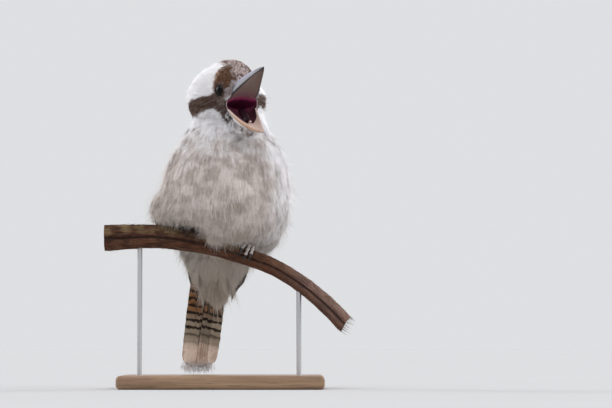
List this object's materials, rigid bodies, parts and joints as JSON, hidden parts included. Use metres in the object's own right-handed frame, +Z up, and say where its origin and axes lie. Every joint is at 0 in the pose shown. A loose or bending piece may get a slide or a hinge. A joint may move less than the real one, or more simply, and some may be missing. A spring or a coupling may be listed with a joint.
{
  "type": "laughing kookaburra",
  "caption": "Still life-size kookaburra calling with its bill wide open, perched on a short arched stalk that two rods hold over a flat base.",
  "frame": {"origin": "middle of the display base's underside, at floor level", "axes": "+Z up, the bird's breast towards -Y and turned 16 degrees towards +X, the stalk along X"},
  "size_m": [0.2861, 0.2154, 0.3824],
  "materials": {
    "head_feathers": "off-white feathers with a dark brown stripe through the eye and a speckled crown",
    "body_feathers": "loose off-white feathers with faint grey-brown mottling, brown on the back",
    "tail_feathers": "rufous-brown vanes barred black, with pale tips",
    "wing_feathers": "dark brown vanes, the coverts mottled pale blue",
    "bill_upper": "blue-black horn with a grey-brown palate",
    "bill_lower": "pale horn with a dark edge near the tip",
    "mouth_skin": "moist dark purple skin with a mauve rim",
    "tongue_skin": "moist pink skin",
    "eye": "glossy black-brown",
    "foot_skin": "scaled grey skin",
    "claw": "dark blue-grey horn",
    "stalk": "dried fibrous palm stalk with a dark groove along it",
    "base_wood": "stained wood, satin",
    "rod_steel": "brushed steel"
  },
  "bodies": {
    "root": {"head": "head_feathers", "neck": "body_feathers", "torso": "body_feathers", "tail": "tail_feathers", "wing_left": "wing_feathers", "wing_right": "wing_feathers", "bill_upper": "bill_upper", "bill_lower": "bill_lower", "mouth": "mouth_skin", "tongue": "tongue_skin", "eye_left": "eye", "eye_right": "eye", "leg_left": "foot_skin", "leg_right": "foot_skin", "claw_left_inner": "claw", "claw_left_middle": "claw", "claw_left_outer": "claw", "claw_left_hind": "claw", "claw_right_inner": "claw", "claw_right_middle": "claw", "claw_right_outer": "claw", "claw_right_hind": "claw", "perch": "stalk", "stand_base": "base_wood", "stand_rod_left": "rod_steel", "stand_rod_right": "rod_steel"}
  },
  "joints": []
}
